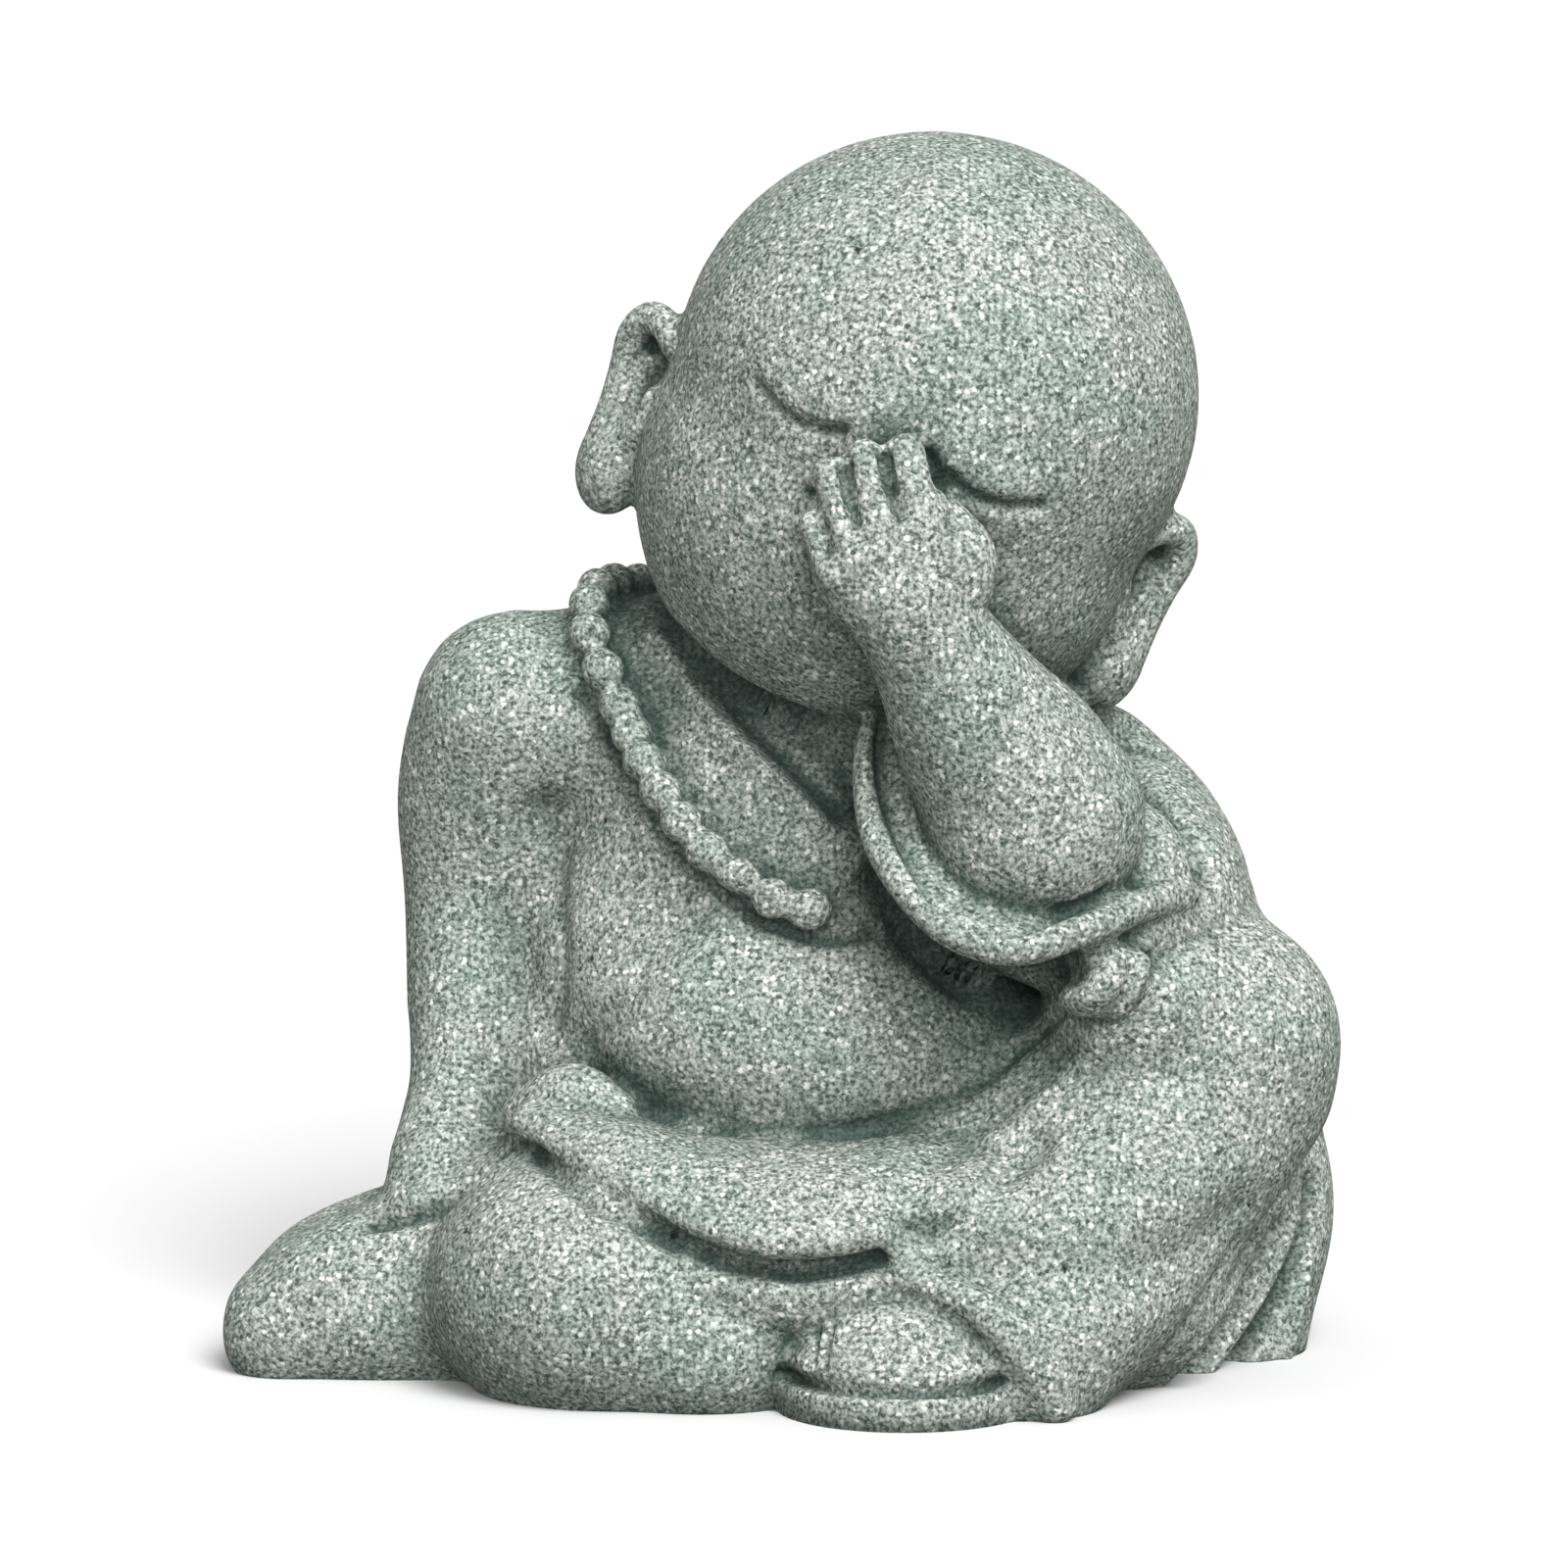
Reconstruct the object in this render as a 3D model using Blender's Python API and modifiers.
"""A little monk who sits with one knee up and a hand before the face, cast in one piece.

The figure faces -Y, its right side is at -X, and it rests on a flat underside at Z = 0.
It is built as a caster's model is: large rounded masses are merged and smoothed, the
members, cloth and beads are laid on them and merged in turn, and shallow strokes then
raise or cut the finer relief.
"""

import math

import bmesh
import bpy
import numpy as np
from mathutils import Euler, Matrix, Vector
from mathutils.bvhtree import BVHTree

# Driving dimensions, in metres
HEIGHT = 0.100
BEAD_LENGTH = 0.0031
BEAD_THICKNESS = 0.0034
HEM_THICKNESS = 0.0025
LAP_CLOTH_THICKNESS = 0.0024
SLEEVE_CLOTH_THICKNESS = 0.0024
SOLE_THICKNESS = 0.0033
STROKE_DEPTH = 0.0008

# The pose is written in hundredths of the height, from the middle of the footprint
UNIT = HEIGHT / 100

# Fineness of the cast skin, in metres, and the faces left in the finished solid
MASS_GRAIN = 0.0011
SKIN_GRAIN = 0.0006
FACES_LEFT = 9600

GREY_GREEN = (0.36, 0.44, 0.41, 1.0)

HEAD_CENTRE = (12.2, -8.0, 79.2)
HEAD_NOD = 6.0
HEAD_LEAN = 22.0
HEAD_TURN = -3.0
FACE_MIDDLE = -0.5
EAR_FLARE = 46.0
BEAD_TWIST = 22.0


def at(x, y, z):
    """A point of the pose as metres."""
    return Vector((x, y, z)) * UNIT


def smooth_line(points, steps):
    """Rows of numbers along the smooth curve through these rows, steps to each span."""
    p = np.array(points, dtype=float)
    p = np.vstack([2 * p[0] - p[1], p, 2 * p[-1] - p[-2]])
    t = np.linspace(0, 1, steps, endpoint=False)[:, None]
    spans = [
        0.5 * (2 * b + (c - a) * t + (2 * a - 5 * b + 4 * c - d) * t**2
               + (3 * b - a - 3 * c + d) * t**3)
        for a, b, c, d in zip(p, p[1:], p[2:], p[3:])
    ]
    return np.vstack(spans + [p[-2:-1]])


def spaced(points, step):
    """Points a step apart along the smooth curve through these points."""
    fine = smooth_line(points, 30)
    reach = np.concatenate([[0], np.cumsum(np.linalg.norm(np.diff(fine, axis=0), axis=1))])
    marks = np.arange(0, reach[-1], step)
    return [Vector([np.interp(m, reach, fine[:, k]) for k in range(3)]) for m in marks]


def ball(name, centre, half_axes, turn=(0, 0, 0), frame=Matrix.Identity(4)):
    """One rounded mass: a sphere stretched to three half axes, turned and set in place."""
    bpy.ops.mesh.primitive_uv_sphere_add(segments=64, ring_count=40, radius=1)
    mass = bpy.context.object
    mass.name = name
    placed = Matrix.LocRotScale(
        at(*centre), Euler([math.radians(a) for a in turn]), Vector(half_axes) * UNIT
    )
    mass.data.transform(frame @ placed)
    return mass


def limb(name, *stations, frame=Matrix.Identity(4)):
    """A tapering limb with ball ends: a spline through stations of x, y, z and radius."""
    data = bpy.data.curves.new(name, "CURVE")
    data.dimensions = "3D"
    data.bevel_depth = UNIT
    data.bevel_resolution = 12
    data.use_fill_caps = True
    rows = smooth_line(stations, 8)
    spline = data.splines.new("POLY")
    spline.points.add(len(rows) - 1)
    for point, (x, y, z, radius) in zip(spline.points, rows):
        point.co = (*at(x, y, z), 1)
        point.radius = radius
    tube = bpy.data.objects.new(name, data)
    tube.matrix_world = frame
    bpy.context.collection.objects.link(tube)
    ends = [
        ball(f"{name}_end", (x, y, z), (radius,) * 3, frame=frame)
        for x, y, z, radius in (stations[0], stations[-1])
    ]
    return [tube, *ends]


def cloth(name, rows, thickness):
    """A thick sheet of cloth: a coarse cage of points, subdivided and given thickness."""
    columns = len(rows[0])
    points = [at(*p) for row in rows for p in row]
    faces = [
        (r * columns + c, r * columns + c + 1, (r + 1) * columns + c + 1, (r + 1) * columns + c)
        for r in range(len(rows) - 1)
        for c in range(columns - 1)
    ]
    mesh = bpy.data.meshes.new(name)
    mesh.from_pydata(points, [], faces)
    sheet = bpy.data.objects.new(name, mesh)
    bpy.context.collection.objects.link(sheet)
    soft = sheet.modifiers.new("soft", "SUBSURF")
    soft.levels = soft.render_levels = 3
    soft.boundary_smooth = "PRESERVE_CORNERS"
    thick = sheet.modifiers.new("thick", "SOLIDIFY")
    thick.thickness = thickness
    thick.offset = 0
    return sheet


def slab(name, centre, half_axes, rounding):
    """A flat oval slab with a rounded edge."""
    bpy.ops.mesh.primitive_cylinder_add(vertices=48, radius=1, depth=2)
    piece = bpy.context.object
    piece.name = name
    piece.data.transform(Matrix.LocRotScale(at(*centre), None, Vector(half_axes) * UNIT))
    edge = piece.modifiers.new("rounded_edge", "BEVEL")
    edge.width = rounding * UNIT
    edge.segments = 4
    edge.angle_limit = math.radians(60)
    return piece


def baked(name, obj):
    """The object as its modifiers leave it, as a plain mesh object; the old one goes."""
    graph = bpy.context.evaluated_depsgraph_get()
    mesh = bpy.data.meshes.new_from_object(obj.evaluated_get(graph))
    mesh.transform(obj.matrix_world)
    bpy.data.objects.remove(obj)
    done = bpy.data.objects.new(name, mesh)
    bpy.context.collection.objects.link(done)
    return done


def merged(name, pieces, grain, smoothing):
    """The pieces cast into one closed skin of that grain, its joints smoothed."""
    flat = []
    for piece in pieces:
        flat += piece if isinstance(piece, list) else [piece]
    bpy.context.view_layer.update()
    graph = bpy.context.evaluated_depsgraph_get()
    together = bmesh.new()
    for piece in flat:
        mesh = bpy.data.meshes.new_from_object(piece.evaluated_get(graph))
        mesh.transform(piece.matrix_world)
        together.from_mesh(mesh)
    for piece in flat:
        bpy.data.objects.remove(piece)
    mesh = bpy.data.meshes.new(name)
    together.to_mesh(mesh)
    together.free()
    skin = bpy.data.objects.new(name, mesh)
    bpy.context.collection.objects.link(skin)
    remesh = skin.modifiers.new("one_skin", "REMESH")
    remesh.mode = "VOXEL"
    remesh.voxel_size = grain
    smooth = skin.modifiers.new("soft_joints", "SMOOTH")
    smooth.factor = 0.5
    smooth.iterations = smoothing
    return baked(name, skin)


def head_frame():
    """Where the head sits and how it leans, nods and turns."""
    turn = Euler([math.radians(a) for a in (HEAD_NOD, HEAD_LEAN, HEAD_TURN)], "XYZ")
    return Matrix.Translation(at(*HEAD_CENTRE)) @ turn.to_matrix().to_4x4()


def body_masses():
    """Trunk, belly, hips, shoulders and the neck column."""
    return [
        ball("base", (2, 2, 3), (30, 21, 7)),
        ball("hips", (1, 6, 13), (26, 18, 15)),
        ball("belly", (2.0, -6.6, 28.0), (19.5, 15.5, 14), (0, 6, 0)),
        ball("chest", (2.6, -1.8, 41), (19.5, 16, 18.5), (0, 10, 0)),
        ball("back", (3, 8, 30), (21.5, 13, 25), (0, 6, 0)),
        ball("flank", (-8, -2, 32), (12.5, 13, 17), (0, 4, 0)),
        ball("waist", (-13, 0, 24), (10.5, 12, 11)),
        ball("left_shoulder", (18.2, -3.5, 44.4), (10.6, 10.6, 9.8)),
        ball("robed_side", (21, 3, 24), (13, 12, 20)),
        ball("beside_chin", (16.5, -12.5, 52.0), (6, 7.6, 7.2)),
        ball("under_chin", (9.6, -10.4, 55.6), (8.4, 9.4, 7.4)),
        limb("beside_arm", (-17.8, 0.6, 47, 5.6), (-18.6, 0.4, 39, 5.4), (-19.0, 0.2, 31, 4.8)),
        ball("over_knee", (31.0, -8.0, 38.2), (7.4, 9.0, 5.0)),
        limb("shoulders", (-19.4, 1, 51.6, 8.7), (2, 1.5, 52.5, 9.8), (24, 3, 43.5, 9)),
        limb("neck", (4.5, 1, 50, 9.8), (9.5, -4, 65, 10)),
    ]


def right_arm():
    """The bare arm that hangs at the side, with its hand on the folded leg."""
    return [
        limb(
            "upper_arm",
            (-22.0, 0.5, 52.1, 8.7),
            (-24.1, 2.5, 45, 7.7),
            (-24.6, 3, 37, 6.6),
            (-25.0, 0.5, 29, 5.9),
            (-25.6, -3, 22, 5.1),
            (-26.6, -5, 18.6, 4.9),
        ),
        limb("hand", (-26.4, -5, 19, 4.9), (-27.6, -8, 15.8, 4.8), (-28.4, -11, 12.9, 3.9)),
    ]


def legs():
    """The right leg folded on the ground and the left knee raised, both under the robe."""
    return [
        limb("right_thigh", (-8, 4, 12, 13), (-14, -11, 9.5, 12.8), (-15.4, -16, 8.4, 12.6)),
        ball("right_knee", (-13.6, -17.5, 8.0), (15.2, 15.4, 12.4)),
        ball("beside_knee", (-6.5, -20, 5.0), (11.5, 12.8, 9.0)),
        limb(
            "folded_shin",
            (-14, 3, 6, 10.5),
            (-27, -0.5, 5.2, 9.4),
            (-35.6, -5, 4.4, 8.0),
            (-39.6, -8.6, 3.2, 6.2),
        ),
        limb(
            "right_shin",
            (-20, -9, 6.4, 8.8),
            (-31, -9.4, 5.2, 8.4),
            (-36.4, -10.4, 4.4, 7.4),
            (-40.2, -11, 3.0, 5.6),
        ),
        limb(
            "left_thigh",
            (6, -4, 11, 12),
            (14, -11, 14, 11.4),
            (21, -13, 17.6, 10.8),
            (29, -13.5, 22.8, 10.8),
            (34.2, -13.5, 27.2, 10.9),
        ),
        limb(
            "left_shin",
            (34, -13, 25, 10.8),
            (28, -18, 17.5, 10.8),
            (22, -23.4, 9.6, 9.8),
            (18.6, -26.6, 4.6, 8.4),
        ),
        ball("knee_top", (29, -17, 31), (8.4, 9.4, 7)),
        ball("left_robe", (23.6, -15, 11.6), (13.0, 15.4, 13.4)),
        ball("lap_fill", (-1, -15.5, 13.5), (18, 13, 7.5)),
        ball("between", (2, -18, 7), (12, 11.5, 9)),
        ball("over_foot", (14.5, -21.5, 11), (10.5, 9.6, 7.5)),
        ball("robe_front", (14.5, -25.2, 14.4), (7.5, 7.6, 5.5)),
    ]


def statue_masses():
    return merged("masses", body_masses() + right_arm() + legs(), MASS_GRAIN, 12)


def head():
    """A round bare head with full cheeks and a small nose."""
    frame = head_frame()
    masses = [
        ball("cranium", (0, 0, 0), (21.3, 20.9, 20.9), frame=frame),
        ball("cheeks", (-0.3, -0.3, -9.4), (20.7, 19.6, 19.8), frame=frame),
        ball("nose", (FACE_MIDDLE - 1.6, -20.4, -4.6), (2.0, 2.0, 2.3), frame=frame),
    ]
    return merged("head", masses, MASS_GRAIN, 10)


def ear(side):
    """A long ear that stands off the head: a plate, a rolled rim, folds and a fat lobe.

    The ear has a frame of its own: x runs from the head to the rim, z runs up, and
    y is square to the plate, its outer face towards `out`.
    """
    flare = EAR_FLARE if side > 0 else 180 - EAR_FLARE
    place = head_frame() @ Matrix.Translation(at(FACE_MIDDLE + side * 19.4, -1.8, 0))
    place @= Matrix.Rotation(math.radians(flare), 4, "Z")
    out = -side
    return [
        ball("ear_plate", (3.0, -out * 2.4, -8.8), (3.6, 1.7, 6.6), frame=place),
        limb(
            "ear_rim",
            (0.8, out * 0.4, -4.2, 1.3),
            (2.6, out * 0.5, -3.3, 1.3),
            (4.8, out * 0.3, -3.6, 1.4),
            (6.0, out * 0.1, -5.6, 1.5),
            (5.7, -out * 0.2, -8.6, 1.5),
            (5.0, -out * 0.3, -11.6, 1.8),
            (4.4, -out * 0.3, -14.4, 2.2),
            frame=place,
        ),
        limb(
            "ear_fold",
            (3.7, -out * 0.5, -6.8, 0.7),
            (3.9, -out * 0.3, -9.4, 1.0),
            (2.4, -out * 0.2, -12.0, 1.3),
            frame=place,
        ),
        limb(
            "ear_root",
            (0.6, out * 0.3, -8.8, 1.1),
            (0.8, out * 0.2, -11.2, 1.4),
            (2.0, 0, -13.2, 1.7),
            frame=place,
        ),
        ball("ear_lobe", (3.2, -out * 0.4, -15.6), (3.6, 2.6, 4.4), frame=place),
    ]


def left_arm():
    """The robed upper arm, the bare forearm and the hand held before the face."""
    return [
        limb(
            "robed_arm",
            (23.5, 3, 44, 9.0),
            (27.2, -3, 40.6, 9.2),
            (28.6, -11, 37.6, 9.0),
            (24.5, -17, 38.6, 8.6),
        ),
        limb(
            "forearm",
            (19.7, -23.6, 47.0, 9.1),
            (17.8, -24.8, 51.0, 8.2),
            (14.7, -26.8, 56.0, 6.7),
            (11.6, -29.0, 61.6, 5.2),
            (9.6, -30.2, 65.2, 5.0),
        ),
        ball("palm", (8.6, -30.6, 68.4), (6.6, 3.8, 6.6), (0, 12, 0)),
        limb("thumb", (13.4, -29.8, 64.6, 2.6), (14.3, -30.2, 68.4, 2.5), (12.4, -29.6, 71.8, 1.8)),
    ]


def fingers():
    """Four short fingers, from the little finger inwards."""
    knuckles = [(4.0, 67.4), (5.4, 69.4), (8.0, 70.2), (10.8, 70.6)]
    tips = [(2.4, 71.2), (3.6, 75.2), (6.3, 76.4), (9.5, 76.8)]
    radii = [1.45, 1.55, 1.7, 1.75]
    made = []
    for (kx, kz), (tx, tz), radius in zip(knuckles, tips, radii):
        made.append(limb("finger", (kx, -32.4, kz, radius), (tx, -30.6, tz, radius * 0.92)))
    return made


def sleeve():
    """The sleeve bunched round the elbow: a thick cloth cup with a rolled rim."""
    hem = HEM_THICKNESS / 2 / UNIT
    rim = [
        (8.6, -16.0, 57.0), (6.8, -20.0, 51.6), (7.2, -25.4, 46.0), (9.8, -29.4, 42.0),
        (13.4, -31.4, 39.0), (18.0, -32.2, 37.8), (23.0, -30.0, 38.6), (28.0, -25.4, 40.0),
        (32.6, -18.0, 40.2), (34.0, -11.0, 39.4),
    ]
    swell = [0.7, 1.0, 1.0, 1.1, 1.2, 1.2, 1.2, 1.1, 1.0, 0.8]
    wall = [
        (10.4, -13.5, 55.5), (9.5, -17.0, 49.8), (9.7, -21.7, 43.8), (12.0, -25.4, 39.2),
        (15.2, -27.4, 36.4), (19.0, -28.0, 35.4), (23.6, -26.4, 36.2), (28.0, -22.4, 38.2),
    ]
    inside = [
        (12.5, -10.5, 54.0), (12.7, -13.0, 48.4), (13.3, -16.5, 42.4), (15.1, -19.5, 38.4),
        (17.6, -21.0, 36.2), (20.6, -21.6, 35.6), (24.4, -20.4, 36.4), (28.0, -18.0, 37.8),
    ]
    return [
        ball("sleeve_bowl", (21.4, -15.4, 41.2), (12.4, 9.4, 7.4)),
        cloth("sleeve_cup", [rim[:8], wall, inside], SLEEVE_CLOTH_THICKNESS),
        limb("sleeve_rim", *[(*spot, hem * wide) for spot, wide in zip(rim, swell)]),
    ]


def lap():
    """The robe's edge across the lap, with its rolled knot at the right hip."""
    rows = [
        [(-19.5, -12, 21.2), (-12.5, -14.5, 20.8), (-4.7, -16, 20.4), (4, -16.5, 20.2),
         (11.5, -15.5, 21.0), (17, -13, 21.4)],
        [(-20.8, -16.5, 22.0), (-13.0, -23.0, 20.8), (-5.2, -27, 18.6), (2, -28.2, 17.8),
         (10, -26.4, 18.4), (16, -21, 19.4)],
        [(-20.6, -18.5, 21.6), (-13.7, -26, 18.6), (-5.9, -30.5, 15.3), (0.8, -32.2, 14.2),
         (8.9, -30.8, 15.2), (13.4, -27, 16.8)],
    ]
    return [
        cloth("lap_cloth", rows, LAP_CLOTH_THICKNESS),
        limb("lap_hem", *[(x, y, z, 1.4) for x, y, z in rows[2]]),
        ball("beside_hem", (10.6, -28.6, 13.5), (5.2, 3.5, 3.2)),
        limb(
            "below_hem",
            (-9, -25.8, 12.4, 4.2),
            (-4, -27.2, 10.8, 4.4),
            (1, -27.6, 9.8, 4.4),
            (6, -27.4, 10.6, 4.2),
        ),
        limb("knot", (-20.4, -14, 21.2, 2.4), (-17, -15.8, 23.0, 2.9), (-13.6, -17.4, 21.8, 2.2)),
        ball("knee_roll", (25.2, -23.4, 33.6), (3.8, 4.2, 3.0), (0, -24, 0)),
    ]


def tail():
    """The robe's folds that fall behind the raised knee."""
    return [
        limb("fold", (37.4, -4, 16, 4.6), (35.6, -6.5, 9, 4.6), (31, -9.5, 1, 4.4)),
        limb(
            "tail_edge",
            (36.2, 3, 17, 7.9),
            (36.9, 1, 11, 8.1),
            (35.8, -1, 4, 7.6),
            (35.0, -1.5, -2, 7.2),
        ),
        ball("tail", (28.6, 6, 8), (14.6, 13.5, 15)),
        limb("behind_hips", (8, 11.5, 10, 12), (20, 10.5, 11, 12.4), (29, 6, 9, 12)),
    ]


def shoe():
    """The left foot in its slipper, toes towards the right side, on a thick sole."""
    sole = SOLE_THICKNESS / UNIT
    return [
        slab("sole", (9.6, -27.4, 0), (10.2, 10.6, sole), sole * 0.3),
        ball("slipper", (9.6, -27, 2.4), (10.1, 10.2, 8.2)),
        limb(
            "robe_arch",
            (1.0, -26.0, 8.0, 1.8),
            (3.4, -27.0, 9.2, 1.4),
            (6.2, -28.8, 10.4, 1.2),
            (10.2, -30.8, 11.2, 1.5),
            (14.3, -32.6, 9.9, 1.7),
            (17.0, -33.6, 8.0, 1.8),
            (19.4, -33.8, 5.2, 1.9),
            (21.4, -32.8, 1.6, 2.0),
        ),
    ]


def laid(skin, points, side):
    """Points of x and z laid on the skin, seen from the front (side 1) or the back (-1).

    A point that falls beside the outline goes to the skin nearest to it.
    """
    tree = BVHTree.FromObject(skin, bpy.context.evaluated_depsgraph_get())
    spots = []
    for x, z in points:
        seen = tree.ray_cast(at(x, -90 * side, z), Vector((0, side, 0)))[0]
        spots.append(seen if seen else tree.find_nearest(at(x, -6, z))[0])
    return spots


def beads(skin):
    """A string of beads round the neck, each bead half sunk in the chest."""
    tree = BVHTree.FromObject(skin, bpy.context.evaluated_depsgraph_get())
    nape = [at(9, 15, 56.5), at(2, 14.5, 59.0), at(-6, 10.5, 61.5), at(-12.4, 5, 62.8)]
    crest = [at(-15.0, 0.4, 61.6), at(-15.6, -4.4, 58.8)]
    front = [(-14.4, 56.0), (-12.2, 52.2), (-10.2, 48.8), (-7.8, 45.5), (-4.6, 42.2),
             (-0.8, 39.7), (3.1, 38.3), (6.6, 38.8)]
    made = []
    path = spaced(nape + crest + laid(skin, front, 1), BEAD_LENGTH)
    for here, ahead in zip(path, path[1:]):
        spot, normal = tree.find_nearest(here)[:2]
        spot += normal * BEAD_THICKNESS * 0.4
        along = (ahead - here).to_track_quat("X", "Z").to_matrix().to_4x4()
        twist = Matrix.Rotation(math.radians(BEAD_TWIST), 4, normal)
        place = Matrix.Translation(spot) @ twist @ along
        half = Vector((BEAD_LENGTH * 0.55, BEAD_THICKNESS / 2, BEAD_THICKNESS / 2))
        made.append(ball("bead", (0, 0, 0), half / UNIT, frame=place))
    return made


def back_hem(skin):
    """The robe's rolled edge across the back, from the left of the neck to the right hip."""
    edge = [(15, 57), (8, 53.5), (0, 47.5), (-8, 40), (-15, 31.5), (-19.5, 24)]
    radius = HEM_THICKNESS / 2 / UNIT
    return limb("back_hem", *[(*(spot / UNIT), radius) for spot in laid(skin, edge, -1)])


def collar(skin):
    """The robe's rolled edge on the left shoulder, below the ear."""
    edge = [(18.6, 56.0), (21.6, 55.0), (24.6, 53.2), (27.4, 50.8), (29.8, 48.0), (31.4, 45.0)]
    radius = HEM_THICKNESS / 2 / UNIT * 1.2
    return limb("collar", *[(*(spot / UNIT), radius) for spot in laid(skin, edge, 1)])


def stroke(mesh, path, height, width):
    """Raise or cut the skin along a path, most on the path and fading to either side."""
    count = len(mesh.vertices)
    points = np.empty(count * 3)
    normals = np.empty(count * 3)
    mesh.vertices.foreach_get("co", points)
    mesh.vertices.foreach_get("normal", normals)
    points = points.reshape(-1, 3)
    line = smooth_line(path, 6)
    nearest = np.full(count, np.inf)
    for a, b in zip(line, line[1:]):
        share = np.clip((points - a) @ (b - a) / max((b - a) @ (b - a), 1e-12), 0, 1)
        nearest = np.minimum(nearest, np.linalg.norm(points - a - share[:, None] * (b - a), axis=1))
    lift = height * np.exp(-((nearest / width) ** 2))
    mesh.vertices.foreach_set("co", (points + normals.reshape(-1, 3) * lift[:, None]).ravel())
    mesh.update()


def front_strokes():
    """Creases and swells seen from the front: path of x and z, depth shares, half width."""
    return [
        ("neck crease", [(-8.6, 60.2), (-5.6, 56.6), (-2.5, 53.0), (1.5, 49.4), (4.4, 46.4)], -1.2, 0.9),
        ("chest edge", [(-10.4, 59.0), (-7.4, 55.2), (-4.2, 51.7), (-0.2, 48.3), (2.8, 45.6)], 0.8, 0.9),
        ("beside the beads", [(-16.4, 54.6), (-14.0, 50.8), (-12.0, 47.4), (-9.6, 44.1),
                              (-6.2, 40.6), (-1.8, 37.9), (3.0, 36.4), (7.2, 36.9)], -0.7, 0.8),
        ("under the breast", [(-3.9, 40.2), (-8.6, 36.4), (-13, 31.0), (-15.7, 26.8)], -0.7, 1.7),
        ("armpit", [(-19.0, 45), (-18.4, 40), (-18.2, 34), (-18.8, 28)], -0.9, 1.5),
        ("inside the sleeve", [(7.8, 54), (7.9, 49.6), (9.4, 45.3), (11.8, 41.6), (15.0, 39.6),
                               (18.5, 39.2), (22.4, 40.2), (25.4, 41.6)], -0.6, 0.8),
        ("under the sleeve", [(8.2, 41), (10.6, 36.7), (14.4, 33.5), (18.7, 33.1), (21.4, 34.7)], -1.2, 2.4),
        ("knee fold", [(26.6, 34.7), (26.9, 33.4), (26.0, 32.2)], -0.8, 0.8),
        ("knee ridge", [(28.8, 36.8), (28.2, 34.7), (27.2, 32.7), (26.2, 31.3)], 0.6, 0.8),
        ("thigh ridge", [(28.6, 33.6), (26.0, 30.4), (23.6, 27.0), (20.4, 23.6), (17.0, 20.9)], 0.8, 1.3),
        ("hem valley", [(10.6, 14.8), (14.3, 16.6), (17.7, 18.9), (20.4, 21.0)], -1.0, 1.2),
        ("above the lap", [(-11, 22.0), (-8, 21.4), (-4.7, 21.2), (5.4, 21.2), (11.8, 22.8),
                           (15.8, 25.0), (19.8, 28.2), (22, 31.0)], -0.8, 0.9),
        ("robe over the knee", [(-20, 19.4), (-16.4, 17.2), (-12.6, 15.6), (-9.0, 14.0)], -0.8, 0.9),
        ("under the lap", [(-11, 15.2), (-8, 13.6), (-4.4, 12.1), (-1.9, 11.7), (1.4, 11.5),
                           (4.6, 11.9), (7.4, 12.6)], -1.2, 0.9),
        ("between hand and leg", [(-33.2, 12.4), (-30, 13.2), (-27.4, 14.2), (-25.2, 16.2),
                                  (-22.4, 18.8)], -1.2, 0.9),
        ("below the thigh", [(12, 14.6), (17, 13.2), (23.3, 11.8), (29.6, 11.6), (36.2, 14.6)], -1.4, 2.8),
        ("beside the front fold", [(36.4, 12), (33, 7.0), (30.8, 4.0), (27.5, 0)], -0.8, 0.9),
        ("front fold", [(38.4, 12.5), (34.9, 6.8), (32.9, 4.2), (29.4, 0)], 0.9, 0.9),
        ("between the folds", [(40.2, 11.5), (37.6, 7.0), (34.6, 2.8), (32.0, 0)], -1.1, 0.9),
        ("robe edge", [(41.6, 11.5), (39.6, 7.4), (36.6, 3.0), (34.2, 0)], 0.7, 0.8),
        ("beside the robe edge", [(43.2, 14), (42.4, 9.5), (40.8, 6.0), (38, 2), (36, 0)], -1.4, 1.0),
        ("tail pleat", [(42.6, 7.6), (42.0, 4.0), (40.8, 0)], 0.7, 0.8),
        ("ring and middle finger", [(4.8, 76.2), (5.0, 74.1), (5.6, 71.6)], -0.8, 0.6),
        ("middle and index finger", [(7.9, 76.6), (8.3, 74.4), (9.0, 72.2)], -0.8, 0.6),
        ("index finger and thumb", [(11.4, 76.2), (12.2, 74.0), (13.4, 71.4)], -0.8, 0.6),
        ("little and ring finger", [(2.0, 73.0), (2.9, 71.2), (3.4, 69.2)], -0.8, 0.6),
        ("toe crease", [(2.6, 7.0), (2.3, 5.6), (2.2, 4.6)], -0.5, 0.5),
        ("second toe crease", [(3.6, 7.2), (3.2, 5.8), (3.1, 4.6)], -0.5, 0.5),
    ]


def hollow_strokes():
    """Hollows behind other forms, which a ray from the front can't reach: whole points."""
    return [
        ("neck hollow", [(-6.0, -9.5, 59.0), (-1.0, -12.5, 54.6), (3.5, -15.0, 50.4),
                         (6.4, -16.2, 46.8)], -2.4, 2.0),
        ("behind the forearm", [(24.6, -15.0, 53.8), (27.0, -15.6, 50.8), (29.2, -16.2, 47.6),
                                (30.9, -16.8, 44.2), (32.4, -16.6, 41.4)], -2.0, 1.5),
    ]


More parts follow.
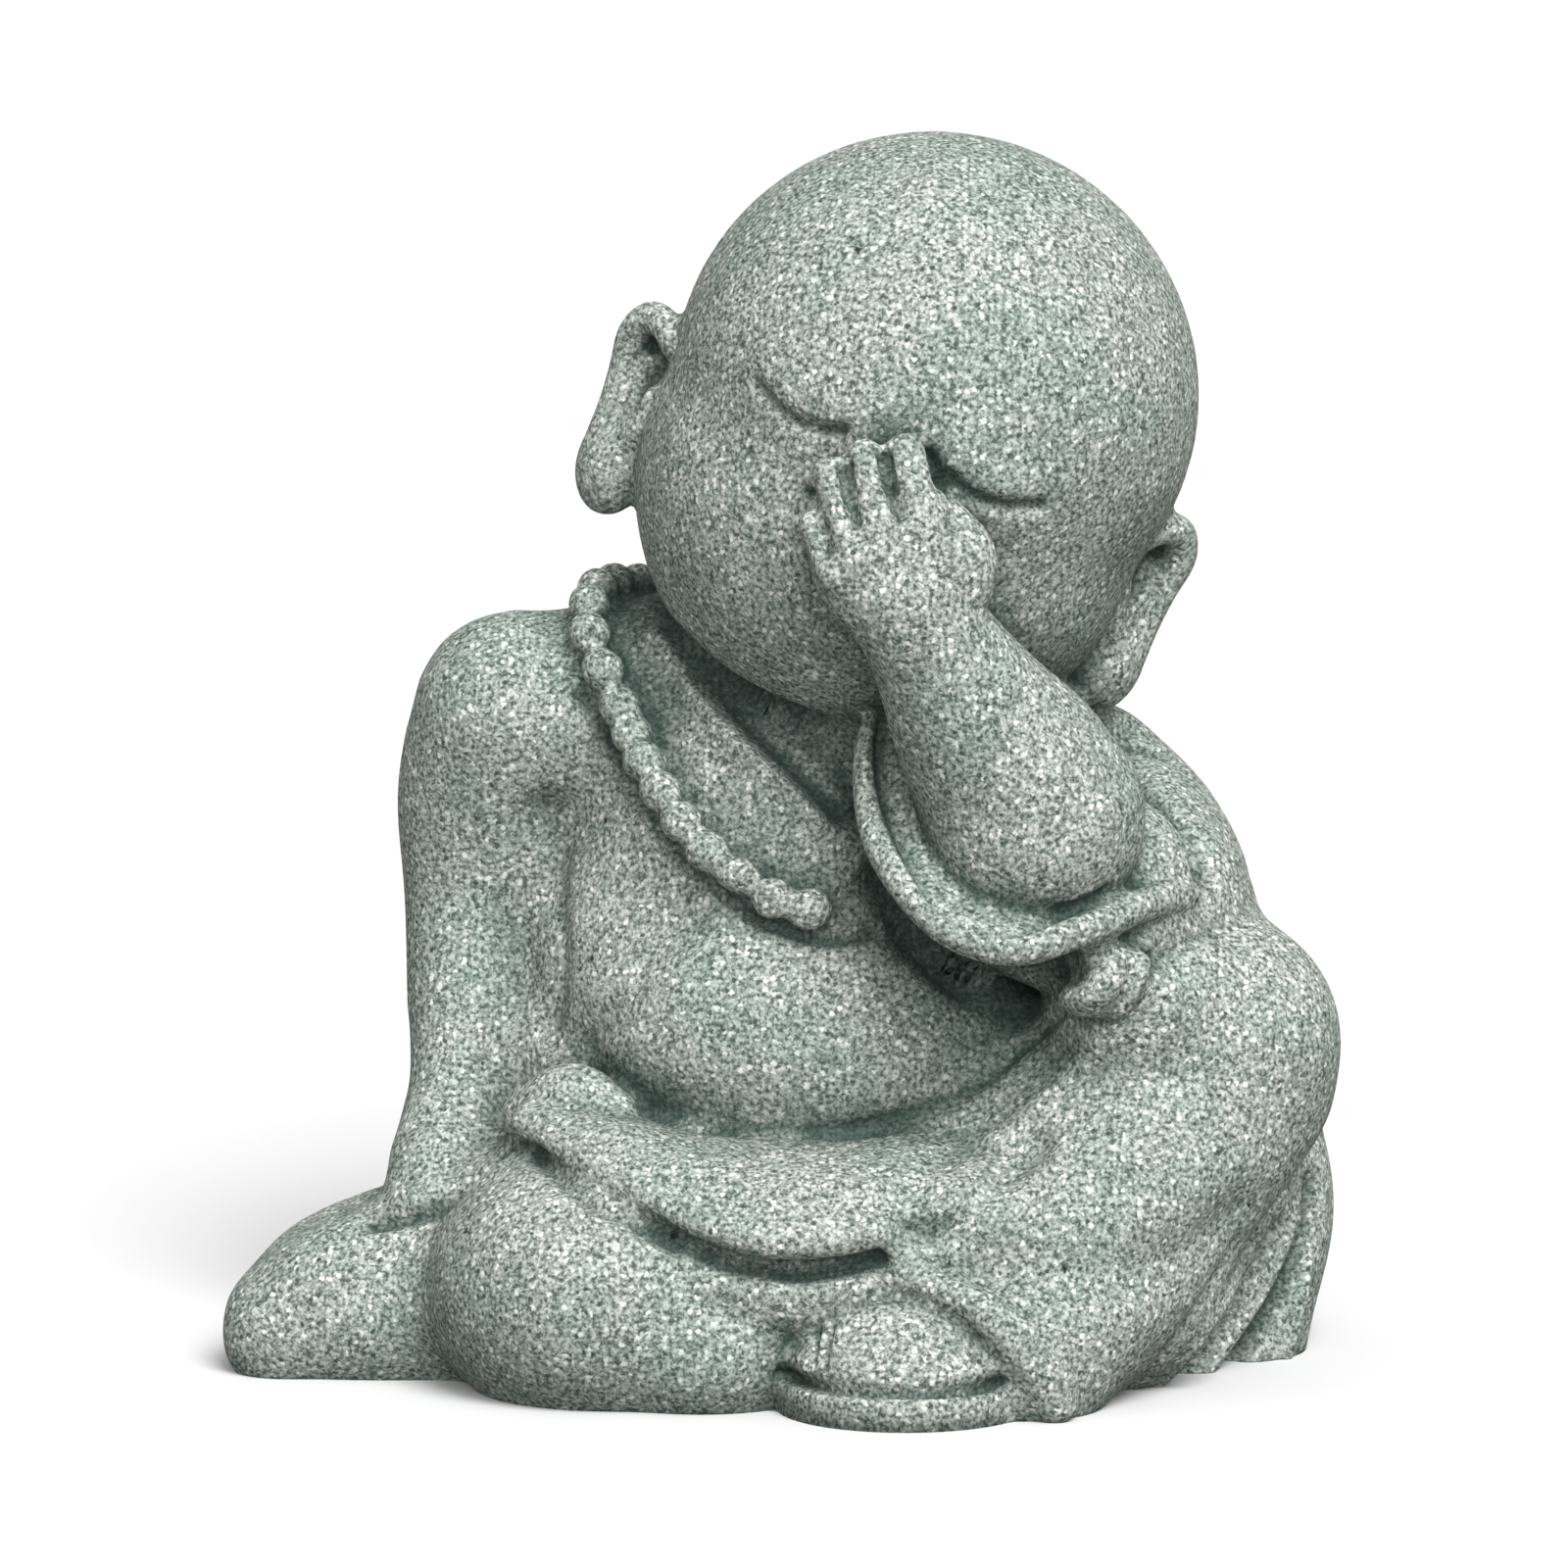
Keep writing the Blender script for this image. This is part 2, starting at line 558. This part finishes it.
def back_strokes():
    """Folds of the robe seen from the back, fanning out from the left shoulder."""
    folds = [
        ("upper fold", [(24, 47), (14, 44), (2, 35), (-9, 25)], -0.9, 1.5),
        ("middle fold", [(27, 42), (19, 37), (9, 27), (-2, 16)], -0.9, 1.6),
        ("lower fold", [(29, 36), (24, 29), (17, 19), (10, 8)], -0.9, 1.6),
        ("under the robe arm", [(28, 34), (25, 26), (24, 16)], -0.9, 2.0),
        ("seat", [(-24, 10), (-10, 7.5), (5, 7.0), (20, 9)], -0.7, 2.2),
    ]
    swells = [
        ("upper swell", [(25, 44.5), (16, 40.5), (5, 31), (-5, 20)], 0.7, 1.8),
        ("middle swell", [(28, 39), (21, 33), (13, 23), (5, 12)], 0.7, 1.8),
    ]
    return folds + swells


def face_strokes():
    """Closed eyelids and the soft swell above them, in the head's own frame."""
    frame = head_frame()
    made = []
    for side in (-1, 1):
        middle = FACE_MIDDLE - 0.7 + side * 8.2
        lid = []
        swell = []
        for share in (-1, -0.5, 0, 0.5, 1):
            x = middle + share * 3.8
            drop = -1.3 - 1.0 * (1 - share**2)
            lid.append(frame @ at(x, -math.sqrt(20.8**2 - x**2 - drop**2), drop))
            swell.append(frame @ at(x, -math.sqrt(20.8**2 - x**2), drop + 2.0))
        made.append(("eyelid", lid, -0.9, 0.6))
        made.append(("eyelid swell", swell, 0.5, 1.8))
    return made


def sole_stroke():
    """The groove between slipper and sole: an arc of the sole's own outline at its top."""
    turns = [math.radians(a) for a in range(170, 350, 20)]
    top = SOLE_THICKNESS / UNIT
    arc = [at(9.6 + 10.0 * math.cos(a), -27.4 + 10.3 * math.sin(a), top) for a in turns]
    return [("sole groove", arc, -0.9, 0.7)]


def carved(statue):
    """Every stroke laid on the statue in turn."""
    strokes = [(name, laid(statue, path, 1), *how) for name, path, *how in front_strokes()]
    strokes += [(name, laid(statue, path, -1), *how) for name, path, *how in back_strokes()]
    strokes += [(name, [at(*p) for p in path], *how) for name, path, *how in hollow_strokes()]
    for _, path, depth, width in strokes + face_strokes() + sole_stroke():
        stroke(statue.data, path, depth * STROKE_DEPTH, width * UNIT)


def largest_body(mesh):
    """Drop every loose shell but the largest, so pockets inside the casting are filled."""
    cast = bmesh.new()
    cast.from_mesh(mesh)
    left = set(cast.verts)
    bodies = []
    while left:
        edge = [left.pop()]
        body = list(edge)
        while edge:
            near = {e.other_vert(v) for v in edge for e in v.link_edges} & left
            left -= near
            edge = list(near)
            body += edge
        bodies.append(body)
    bodies.sort(key=len)
    for body in bodies[:-1]:
        bmesh.ops.delete(cast, geom=body, context="VERTS")
    cast.to_mesh(mesh)
    cast.free()


def ground_flat(mesh):
    """Cut the casting at the ground and close its underside flat."""
    cast = bmesh.new()
    cast.from_mesh(mesh)
    whole = cast.verts[:] + cast.edges[:] + cast.faces[:]
    cut = bmesh.ops.bisect_plane(
        cast, geom=whole, plane_co=(0, 0, 0), plane_no=(0, 0, 1), clear_inner=True
    )
    rim = [e for e in cut["geom_cut"] if isinstance(e, bmesh.types.BMEdge)]
    bmesh.ops.triangle_fill(cast, use_beauty=True, edges=rim)
    bmesh.ops.recalc_face_normals(cast, faces=cast.faces)
    cast.to_mesh(mesh)
    cast.free()


def centred(mesh):
    """Shift the figure so that its box stands on the ground, centred on the origin."""
    spots = np.empty(len(mesh.vertices) * 3)
    mesh.vertices.foreach_get("co", spots)
    spots = spots.reshape(-1, 3)
    middle = (spots.min(axis=0) + spots.max(axis=0)) / 2
    spots -= (middle[0], middle[1], spots[:, 2].min())
    mesh.vertices.foreach_set("co", spots.ravel())
    mesh.update()
    print("pose middle lies at", [round(c * 1000, 3) for c in middle[:2]], "mm")


def main():
    for obj in list(bpy.data.objects):
        bpy.data.objects.remove(obj)
    masses = statue_masses()
    string = beads(masses)
    hems = [back_hem(masses), collar(masses)]
    pieces = [masses, head(), *ear(-1), *ear(1), *left_arm(), *fingers(), *sleeve(), *lap()]
    pieces += shoe() + tail() + string + hems
    cast = merged("cast", pieces, SKIN_GRAIN, 2)
    largest_body(cast.data)
    carved(cast)
    fewer = cast.modifiers.new("fewer_facets", "DECIMATE")
    fewer.ratio = FACES_LEFT / (2 * len(cast.data.polygons))
    fewer.use_collapse_triangulate = True
    statue = baked("monk_statue", cast)
    ground_flat(statue.data)
    centred(statue.data)
    statue.data.shade_smooth()
    stone = bpy.data.materials.new("cast_stone")
    stone.use_nodes = True
    shader = stone.node_tree.nodes["Principled BSDF"]
    shader.inputs["Base Color"].default_value = GREY_GREEN
    shader.inputs["Roughness"].default_value = 0.9
    statue.data.materials.append(stone)
    parts = bpy.data.collections.new("monk_statue")
    bpy.context.scene.collection.children.link(parts)
    for holder in list(statue.users_collection):
        holder.objects.unlink(statue)
    parts.objects.link(statue)
    sizes = [round(d * 1000, 1) for d in statue.dimensions]
    print("faces", len(statue.data.polygons), "box in mm", sizes)


main()
